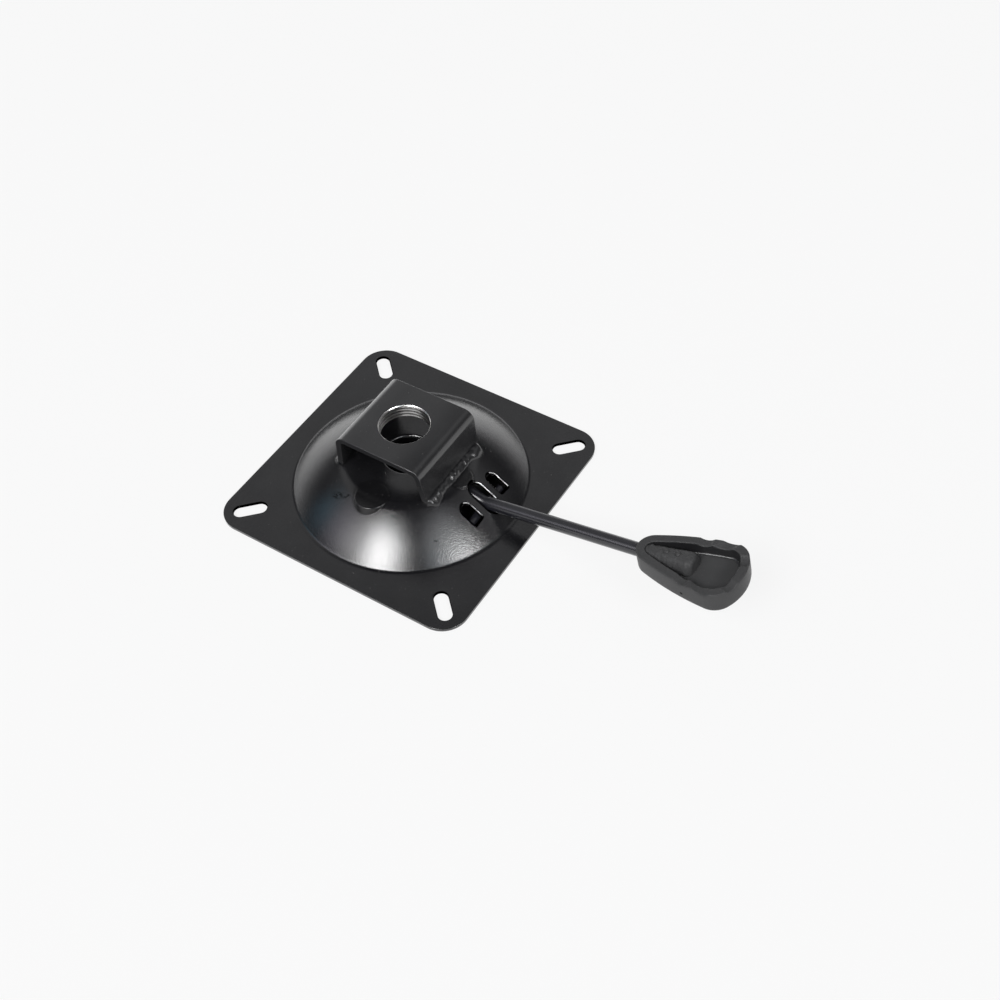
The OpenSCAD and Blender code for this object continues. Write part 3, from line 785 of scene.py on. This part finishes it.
def boss(mesh):
    """The round socket that holds the rod's end, with the moulding marks on its back."""
    around, start, brink, blunt = 144, NOSE_C[0] / 2 - 1, 31.2, 3.6
    stations = [(start + (brink - start) * t, 3.5 + 3.4 * t ** 0.7) for t in np.linspace(0, 1, 110)]
    wide = stations[-1][1]
    for a in np.linspace(0, math.pi / 2, 20)[1:]:
        stations.append((brink + blunt * math.sin(a), wide - 3.2 * (1 - math.cos(a))))
    for share in (0.66, 0.33):
        stations.append((brink + blunt + 0.3 * (1 - share), (wide - 3.2) * share))
    rings = []
    for x, r in stations:
        ring = []
        for k in range(around):
            t = 2 * math.pi * k / around
            y, z = r * math.cos(t), r * math.sin(t)
            lift = 0.0
            if z > 0:
                for mx in (18.6, 25.4):
                    d = math.hypot(x - mx, y - 0.3)
                    lift -= 0.6 * math.exp(-((d - 1.6) / 0.4) ** 2)
                lift += 0.3 * noise.noise((x * 0.35, y * 0.35, 3)) + 0.1 * noise.noise((x * 1.1, y * 1.1, 8))
                lift += 0.9 * math.exp(-((x - 9.5) ** 2 + (y - 1.8) ** 2) / 1.2)
            ring.append((x, y * (r + lift) / r, z * (r + lift) / r))
        rings.append(np.array(ring))
    ids = [mesh.add(paddle_to_world(r), np.zeros((around, 3))) for r in rings]
    for a, b in zip(ids, ids[1:]):
        mesh.strip(b, a)
    mesh.faces.append(tuple(ids[0][::-1]))
    mesh.faces.append(tuple(ids[-1]))


# Materials

def nodes_of(name):
    mat = bpy.data.materials.new(name)
    mat.use_nodes = True
    tree = mat.node_tree
    return mat, tree, tree.nodes["Principled BSDF"]


def node(tree, kind, **values):
    made = tree.nodes.new(kind)
    for key, value in values.items():
        if key in made.inputs.keys():
            made.inputs[key].default_value = value
        else:
            setattr(made, key, value)
    return made


def noise_node(tree, coords, scale, detail, rough=0.5):
    made = node(tree, "ShaderNodeTexNoise", Scale=scale, Detail=detail, Roughness=rough)
    tree.links.new(coords, made.inputs["Vector"])
    return made.outputs["Fac"]


def ramp(tree, value, stops):
    made = tree.nodes.new("ShaderNodeValToRGB")
    made.color_ramp.elements[0].position, made.color_ramp.elements[0].color = stops[0][0], (*stops[0][1], 1)
    made.color_ramp.elements[1].position, made.color_ramp.elements[1].color = stops[-1][0], (*stops[-1][1], 1)
    for pos, colour in stops[1:-1]:
        made.color_ramp.elements.new(pos).color = (*colour, 1)
    tree.links.new(value, made.inputs["Fac"])
    return made.outputs["Color"]


def spread(tree, value, low, high, to_low, to_high):
    made = node(tree, "ShaderNodeMapRange", clamp=True)
    for key, number in (("From Min", low), ("From Max", high), ("To Min", to_low), ("To Max", to_high)):
        made.inputs[key].default_value = number
    tree.links.new(value, made.inputs["Value"])
    return made.outputs["Result"]


def math_node(tree, operation, a, b):
    made = node(tree, "ShaderNodeMath", operation=operation)
    for socket, value in zip(made.inputs, (a, b)):
        if isinstance(value, (int, float)):
            socket.default_value = value
        else:
            tree.links.new(value, socket)
    return made.outputs[0]


def mixed(tree, share, colour, constant):
    """A colour that goes over to a constant one as the share grows."""
    made = node(tree, "ShaderNodeMix", data_type="RGBA")
    tree.links.new(share, made.inputs[0])
    tree.links.new(colour, made.inputs[6])
    made.inputs[7].default_value = (*constant, 1)
    return made.outputs[2]


def patch(tree, coords, centre, half, turn=0.0, brim=0.75):
    """Mask of an ellipsoid round a point in mm: 1 inside, 0 outside, with a soft brim."""
    place = node(tree, "ShaderNodeMapping", vector_type="TEXTURE")
    place.inputs["Location"].default_value = [v * MM for v in centre]
    place.inputs["Rotation"].default_value = (0, 0, math.radians(turn))
    place.inputs["Scale"].default_value = [v * MM for v in half]
    tree.links.new(coords, place.inputs["Vector"])
    length = node(tree, "ShaderNodeVectorMath", operation="LENGTH")
    tree.links.new(place.outputs[0], length.inputs[0])
    return spread(tree, length.outputs["Value"], brim, 1.0, 1.0, 0.0)


def sheared_ends(tree):
    """Mask of the faces that look along Y: the sheared ends of the bent sheet."""
    split = node(tree, "ShaderNodeSeparateXYZ")
    tree.links.new(node(tree, "ShaderNodeNewGeometry").outputs["Normal"], split.inputs[0])
    return spread(tree, math_node(tree, "ABSOLUTE", split.outputs["Y"], 0), 0.7, 0.9, 0, 0.9)


PEEL_SCALE, GRAIN_SCALE = 1700, 3400
PEEL_DEPTH, GRAIN_DEPTH = 0.00015, 0.00006


def paint(name, dark, light, rough, peel, grain, specular=0.5, marks_and_shade=(), sheared=False, coarse=None):
    """Powder coat: a dark base that wanders a little, orange peel, a fine grain, and dull dark marks: wear
    where they are scuffs, painted shade on the two pads.
    """
    mat, tree, shader = nodes_of(name)
    coords = node(tree, "ShaderNodeTexCoord").outputs["Object"]
    wander = noise_node(tree, coords, 60, 4)
    colour = ramp(tree, wander, [(0.35, dark), (0.7, light)])
    specks = noise_node(tree, coords, 900, 2)
    dust = spread(tree, specks, 0.72, 0.78, 0, 0.1)
    tint = mixed(tree, dust, colour, (0.35, 0.34, 0.33))
    cloud = noise_node(tree, coords, 35, 3)
    tree.links.new(spread(tree, cloud, 0.3, 0.7, rough - 0.02, rough + 0.03), shader.inputs["Roughness"])
    dull_and_shade = sheared_ends(tree) if sheared else None
    for centre, half, turn, brim, weight, broken in marks_and_shade:
        mask = math_node(tree, "MULTIPLY", patch(tree, coords, centre, half, turn, brim), weight)
        if broken:
            gaps = spread(tree, noise_node(tree, coords, 1100, 2), 0.47, 0.53, 0, 1)
            mask = math_node(tree, "MULTIPLY", mask, gaps)
        dull_and_shade = mask if dull_and_shade is None else math_node(tree, "MAXIMUM", dull_and_shade, mask)
    if marks_and_shade:
        # Inside the masks the colour goes nearly black and the sheen goes: on the sheared ends, on scuffs as
        # wear, and on the two pads as painted shade.
        tint = mixed(tree, dull_and_shade, tint, (0.002, 0.002, 0.002))
    tree.links.new(tint, shader.inputs["Base Color"])
    if dull_and_shade is None:
        shader.inputs["Specular IOR Level"].default_value = specular
    else:
        tree.links.new(spread(tree, dull_and_shade, 0, 1, specular, 0), shader.inputs["Specular IOR Level"])
    wide = noise_node(tree, coords, PEEL_SCALE, 2, 0.5)
    fine = noise_node(tree, coords, GRAIN_SCALE, 2, 0.6)
    first = node(tree, "ShaderNodeBump", Strength=peel, Distance=PEEL_DEPTH)
    tree.links.new(wide, first.inputs["Height"])
    second = node(tree, "ShaderNodeBump", Strength=grain, Distance=GRAIN_DEPTH)
    tree.links.new(fine, second.inputs["Height"])
    tree.links.new(first.outputs["Normal"], second.inputs["Normal"])
    last = second
    if coarse:
        last = node(tree, "ShaderNodeBump", Distance=0.0002)
        share = math_node(tree, "MULTIPLY", patch(tree, coords, *coarse, 0.0, 0.4), 0.6)
        tree.links.new(share, last.inputs["Strength"])
        tree.links.new(noise_node(tree, coords, 1300, 1), last.inputs["Height"])
        tree.links.new(second.outputs["Normal"], last.inputs["Normal"])
    tree.links.new(last.outputs["Normal"], shader.inputs["Normal"])
    return mat


def rubbed_steel(name):
    """Bare metal where the coat has rubbed through, in a broken line."""
    mat, tree, shader = nodes_of(name)
    coords = node(tree, "ShaderNodeTexCoord").outputs["Object"]
    spots = noise_node(tree, coords, 500, 3)
    colour = ramp(tree, spots, [(0.35, (0.08, 0.08, 0.08)), (0.55, (0.42, 0.42, 0.42))])
    tree.links.new(colour, shader.inputs["Base Color"])
    shader.inputs["Metallic"].default_value = 1.0
    shader.inputs["Roughness"].default_value = 0.3
    return mat


def bright_steel(name):
    """Bored steel with turning lines that run round the Z axis."""
    mat, tree, shader = nodes_of(name)
    coords = node(tree, "ShaderNodeTexCoord").outputs["Object"]
    stretch = node(tree, "ShaderNodeMapping")
    stretch.inputs["Scale"].default_value = (12, 12, 2600)
    tree.links.new(coords, stretch.inputs["Vector"])
    lines = noise_node(tree, stretch.outputs["Vector"], 1, 3, 0.6)
    colour = ramp(tree, lines, [(0.3, (0.3, 0.295, 0.29)), (0.7, (0.65, 0.64, 0.63))])
    tree.links.new(colour, shader.inputs["Base Color"])
    shader.inputs["Metallic"].default_value = 1.0
    tree.links.new(spread(tree, lines, 0.3, 0.7, 0.2, 0.36), shader.inputs["Roughness"])
    bump = node(tree, "ShaderNodeBump", Strength=0.5, Distance=0.00005)
    tree.links.new(lines, bump.inputs["Height"])
    tree.links.new(bump.outputs["Normal"], shader.inputs["Normal"])
    return mat


# Light, floor and camera

WHITE, GLOW = 0.94, 1.6
FOCAL, PIXELS, SENSOR = 1390.9, 1000.0, 36.0


def direction(azimuth, elevation):
    a, e = math.radians(azimuth), math.radians(elevation)
    return Vector((math.sin(a) * math.cos(e), -math.cos(a) * math.cos(e), math.sin(e)))


def softbox(name, azimuth, elevation, width, height, radiance, colour, distance=5.0):
    """A rectangular light that covers width by height degrees, seen from the part."""
    w, h = (2 * distance * math.tan(math.radians(v) / 2) for v in (width, height))
    light = bpy.data.lights.new(name, "AREA")
    light.shape = "RECTANGLE"
    light.size, light.size_y = w, h
    light.energy = radiance * math.pi * w * h
    light.color = colour
    obj = bpy.data.objects.new(name, light)
    bpy.context.scene.collection.objects.link(obj)
    d = direction(azimuth, elevation)
    obj.location = d * distance
    obj.rotation_euler = d.to_track_quat("Z", "Y").to_euler()
    return obj


def studio():
    softbox("key_light", -1, 47, 21, 25, 25.5, (1.0, 1.0, 1.0))
    softbox("key_left", -24, 45, 22, 24, 4.5, (1.0, 1.0, 1.0))
    softbox("key_spill", -46, 38, 20, 20, 1.7, (1.0, 0.96, 1.1))
    softbox("cool_light", -67, 28, 14, 14, 0.8, (0.45, 0.9, 1.2))
    softbox("side_edge", 57, 43, 8, 14, 2.0, (0.7, 0.95, 1.15))
    softbox("side_light", 72, 53, 24, 20, 4.2, (0.97, 1.0, 1.03))
    softbox("side_spark", 79, 39, 18, 11, 30, (1.0, 1.0, 1.0))
    softbox("back_light", -145, 22, 54, 26, 0.5, (1.0, 1.0, 1.02))
    world = bpy.data.worlds.new("studio")
    bpy.context.scene.world = world
    world.use_nodes = True
    tree = world.node_tree
    background = tree.nodes["Background"]
    coords = node(tree, "ShaderNodeTexCoord").outputs["Generated"]
    split = node(tree, "ShaderNodeSeparateXYZ")
    tree.links.new(coords, split.inputs[0])
    stops = [(0.0, 1.3), (0.06, 1.15), (0.13, 0.55), (0.22, 0.08), (0.4, 0.03), (0.6, 0.24),
             (0.7, 0.54), (0.8, 0.38), (0.84, 0.2), (0.89, 0.04), (1.0, 0.01)]
    level = ramp(tree, split.outputs["Z"], [(z, (v, v, v * 1.01)) for z, v in stops])
    path = node(tree, "ShaderNodeLightPath")
    seen = mixed(tree, path.outputs["Is Camera Ray"], level, [WHITE / GLOW] * 3)
    tree.links.new(seen, background.inputs["Color"])
    background.inputs["Strength"].default_value = GLOW


def floor():
    mesh = bpy.data.meshes.new("floor")
    size = 8.0
    corners = [(-size, -size, 0), (size, -size, 0), (size, size, 0), (-size, size, 0)]
    mesh.from_pydata(corners, [], [(0, 1, 2, 3)])
    obj = bpy.data.objects.new("floor", mesh)
    bpy.context.scene.collection.objects.link(obj)
    obj.location.z = -0.0004
    mat, tree, shader = nodes_of("floor")
    shader.inputs["Roughness"].default_value = 0.9
    shader.inputs["Specular IOR Level"].default_value = 0.0
    path = node(tree, "ShaderNodeLightPath")
    seen = node(tree, "ShaderNodeMix", data_type="FLOAT")
    tree.links.new(path.outputs["Is Camera Ray"], seen.inputs[0])
    seen.inputs[2].default_value, seen.inputs[3].default_value = GLOW, WHITE
    glow = node(tree, "ShaderNodeEmission", Color=(1.0, 1.0, 1.0, 1))
    tree.links.new(seen.outputs[0], glow.inputs["Strength"])
    # No light reaches the floor under the dome, so it doesn't glow there, and its colour there is painted
    # nearly black as a painted shadow
    coords = node(tree, "ShaderNodeTexCoord").outputs["Object"]
    length = node(tree, "ShaderNodeVectorMath", operation="LENGTH")
    tree.links.new(coords, length.inputs[0])
    share = spread(tree, length.outputs["Value"], 0.066, 0.068, 0.0, 0.92)
    # Painted shadow: nearly black colour under the dome, the pale floor colour outside it
    colour = ramp(tree, share, [(0.0, (0.01, 0.01, 0.01)), (0.9, (0.5, 0.5, 0.5))])
    tree.links.new(colour, shader.inputs["Base Color"])
    mix = node(tree, "ShaderNodeMixShader")
    tree.links.new(share, mix.inputs[0])
    tree.links.new(shader.outputs[0], mix.inputs[1])
    tree.links.new(glow.outputs[0], mix.inputs[2])
    tree.links.new(mix.outputs[0], tree.nodes["Material Output"].inputs["Surface"])
    mesh.materials.append(mat)


def camera():
    az, el, roll = math.radians(35.03), math.radians(49.93), math.radians(3.58)
    forward = -Vector((math.sin(az) * math.cos(el), -math.cos(az) * math.cos(el), math.sin(el)))
    right = forward.cross(Vector((0, 0, 1))).normalized()
    up = right.cross(forward)
    x = right * math.cos(roll) - up * math.sin(roll)
    y = up * math.cos(roll) + right * math.sin(roll)
    data = bpy.data.cameras.new("camera")
    data.sensor_width = SENSOR
    data.lens = FOCAL * SENSOR / PIXELS
    data.clip_start, data.clip_end = 0.01, 50.0
    obj = bpy.data.objects.new("camera", data)
    bpy.context.scene.collection.objects.link(obj)
    turn = Matrix((x, y, -forward)).transposed().to_4x4()
    obj.matrix_world = Matrix.Translation((0.3384, -0.3970, 0.5950)) @ turn
    bpy.context.scene.camera = obj


# Dull marks of wear, and painted shade on the two pads in the first two rows: centre, half sizes, turn, brim,
# weight, and whether the mark is broken up
PAD_SHADE_AND_WEAR = [((0, -35, 20), (11.4, 11.4, 60), 0, 0.92, 0.4, False),
        ((34, 0, 20), (8.8, 8.8, 60), 0, 0.92, 0.4, False),
        ((42.1, -36.5, 11), (1.7, 0.35, 9), 35, 0.6, 0.9, False),
        ((38.3, -17.4, 20), (1.1, 0.35, 9), 35, 0.6, 0.8, False),
        ((-19.0, -41.6, 17), (5.0, 2.4, 20), 10, 0.4, 0.9, True),
        ((-13.2, -40.6, 19), (3.4, 1.2, 20), 30, 0.4, 0.9, True),
        ((6.0, -32.5, 22), (1.2, 0.6, 9), 0, 0.5, 0.9, True)]
PIT = [((177.5, -16.5, 34.4), (1.0, 1.0, 0.8), 0, 0.6, 1.0, False)]
# Where the plate's coat has a coarser peel: centre and half sizes
COARSE = ((56, -34, 8), (24, 20, 30))
plate_paint = paint("plate_paint", (0.0035, 0.0035, 0.004), (0.0055, 0.0055, 0.006),
                    0.12, 0.4, 0.3, marks_and_shade=PAD_SHADE_AND_WEAR, coarse=COARSE)
bracket_paint = paint("bracket_paint", (0.0075, 0.0075, 0.008), (0.01, 0.01, 0.0105),
                      0.22, 0.15, 0.2, sheared=True)
weld_paint = paint("weld_paint", (0.004, 0.004, 0.0045), (0.007, 0.007, 0.0075), 0.25, 0.3, 0.3)
lever_paint = paint("lever_paint", (0.0035, 0.0035, 0.005), (0.006, 0.006, 0.008), 0.24, 0.1, 0.1)
paddle_plastic = paint("paddle_plastic", (0.025, 0.025, 0.0255), (0.029, 0.029, 0.0295),
                       0.45, 0.1, 0.5, 0.08, PIT)
# Inner wall of the rim: glossier than the outside, and its darker colour is painted shade in the recess
paddle_inner = paint("paddle_inner", (0.007, 0.007, 0.0075), (0.01, 0.01, 0.0105), 0.3, 0.1, 0.3, 0.5)
rubbed = rubbed_steel("rubbed_edge")
steel = bright_steel("bore_steel")

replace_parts(base_plate(plate_paint), "base_plate")
bracket = seat_bracket(bracket_paint)
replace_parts(bracket, "seat_bracket")
bore_wall(steel)
worn_brinks(rubbed)
weld("weld_right_bead", 1, 0.9, weld_paint, 2.3)
weld("weld_left_bead", -1, 0.25, weld_paint, 8.1)
lever_rod(lever_paint)
paddle(paddle_plastic, paddle_inner)
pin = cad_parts["pivot_pin"]
pin.data.materials.clear()
pin.data.materials.append(lever_paint)
studio()
floor()
camera()
bpy.context.scene.view_settings.view_transform = "Standard"
